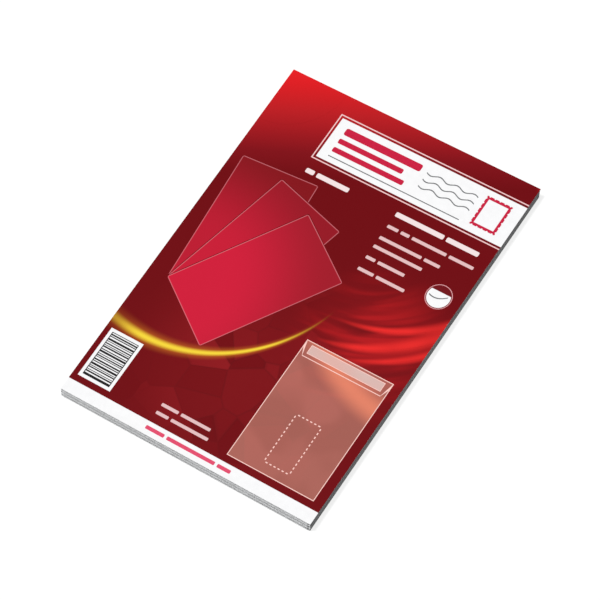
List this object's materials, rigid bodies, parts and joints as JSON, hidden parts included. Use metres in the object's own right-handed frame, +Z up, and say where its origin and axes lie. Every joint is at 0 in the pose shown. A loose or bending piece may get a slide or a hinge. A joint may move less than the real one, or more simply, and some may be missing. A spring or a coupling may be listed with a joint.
{
  "type": "pack of window envelopes",
  "caption": "Flat retail stack of white C5 window envelopes, flaps up and windows down, under a printed red cover sheet, for posting A5 or folded A4 papers",
  "frame": {"origin": "middle of the underside of the stack, where it rests", "axes": "+Z up out of the printed cover, +Y along the envelopes towards their seal flaps, +X towards the right edge of the cover as it is read"},
  "size_m": [0.1628, 0.2302, 0.0075],
  "materials": {
    "envelope_paper": "uncoated white writing paper, 90 g/m2, folded",
    "window_film": "thin clear film, smooth",
    "release_paper": "siliconed release paper, slight sheen",
    "cover_card": "light coated card, white, satin",
    "ink_red_ground": "satin print, deep red, brighter towards one corner",
    "ink_bright_red": "satin print, bright red",
    "ink_deep_crimson": "satin print, deep crimson",
    "ink_crimson": "satin print, crimson",
    "ink_bright_crimson": "satin print, bright crimson",
    "ink_gold": "satin print, golden yellow, fading at both ends",
    "ink_white": "satin print, white",
    "ink_grey": "satin print, mid grey",
    "ink_black": "satin print, black",
    "ink_rose": "satin print, dusty rose",
    "ink_pale_rose": "satin print, pale rose"
  },
  "bodies": {
    "root": {"envelope_01": "envelope_paper", "window_pane_01": "window_film", "release_strip_01": "release_paper", "envelope_02": "envelope_paper", "window_pane_02": "window_film", "release_strip_02": "release_paper", "envelope_03": "envelope_paper", "window_pane_03": "window_film", "release_strip_03": "release_paper", "envelope_04": "envelope_paper", "window_pane_04": "window_film", "release_strip_04": "release_paper", "envelope_05": "envelope_paper", "window_pane_05": "window_film", "release_strip_05": "release_paper", "envelope_06": "envelope_paper", "window_pane_06": "window_film", "release_strip_06": "release_paper", "envelope_07": "envelope_paper", "window_pane_07": "window_film", "release_strip_07": "release_paper", "envelope_08": "envelope_paper", "window_pane_08": "window_film", "release_strip_08": "release_paper", "envelope_09": "envelope_paper", "window_pane_09": "window_film", "release_strip_09": "release_paper", "envelope_10": "envelope_paper", "window_pane_10": "window_film", "release_strip_10": "release_paper", "cover_sheet": "cover_card", "cover_print_ground": "ink_red_ground", "cover_print_corner_glow": "ink_bright_red", "cover_print_red_band_1": "ink_bright_red", "cover_print_red_band_2": "ink_bright_red", "cover_print_red_band_3": "ink_bright_red", "cover_print_fan_sheet_1": "ink_deep_crimson", "cover_print_fan_sheet_2": "ink_crimson", "cover_print_fan_sheet_3": "ink_bright_crimson", "cover_print_gold_sweep": "ink_gold", "cover_print_label_frame": "ink_white", "cover_print_address_bar_1": "ink_crimson", "cover_print_address_bar_2": "ink_crimson", "cover_print_address_bar_3": "ink_crimson", "cover_print_postmark_wave_1": "ink_grey", "cover_print_postmark_wave_2": "ink_grey", "cover_print_postmark_wave_3": "ink_grey", "cover_print_stamp": "ink_crimson", "cover_print_label_rule": "ink_grey", "cover_print_badge_ring": "ink_red_ground", "cover_print_badge_peel": "ink_grey", "cover_print_barcode": "ink_black", "cover_print_drawn_back": "ink_rose", "cover_print_drawn_flap": "ink_rose", "cover_print_drawn_strip": "ink_pale_rose", "cover_print_footer_bar_1": "ink_bright_red", "cover_print_footer_bar_2": "ink_bright_red", "cover_print_footer_bar_3": "ink_bright_red"}
  },
  "joints": []
}
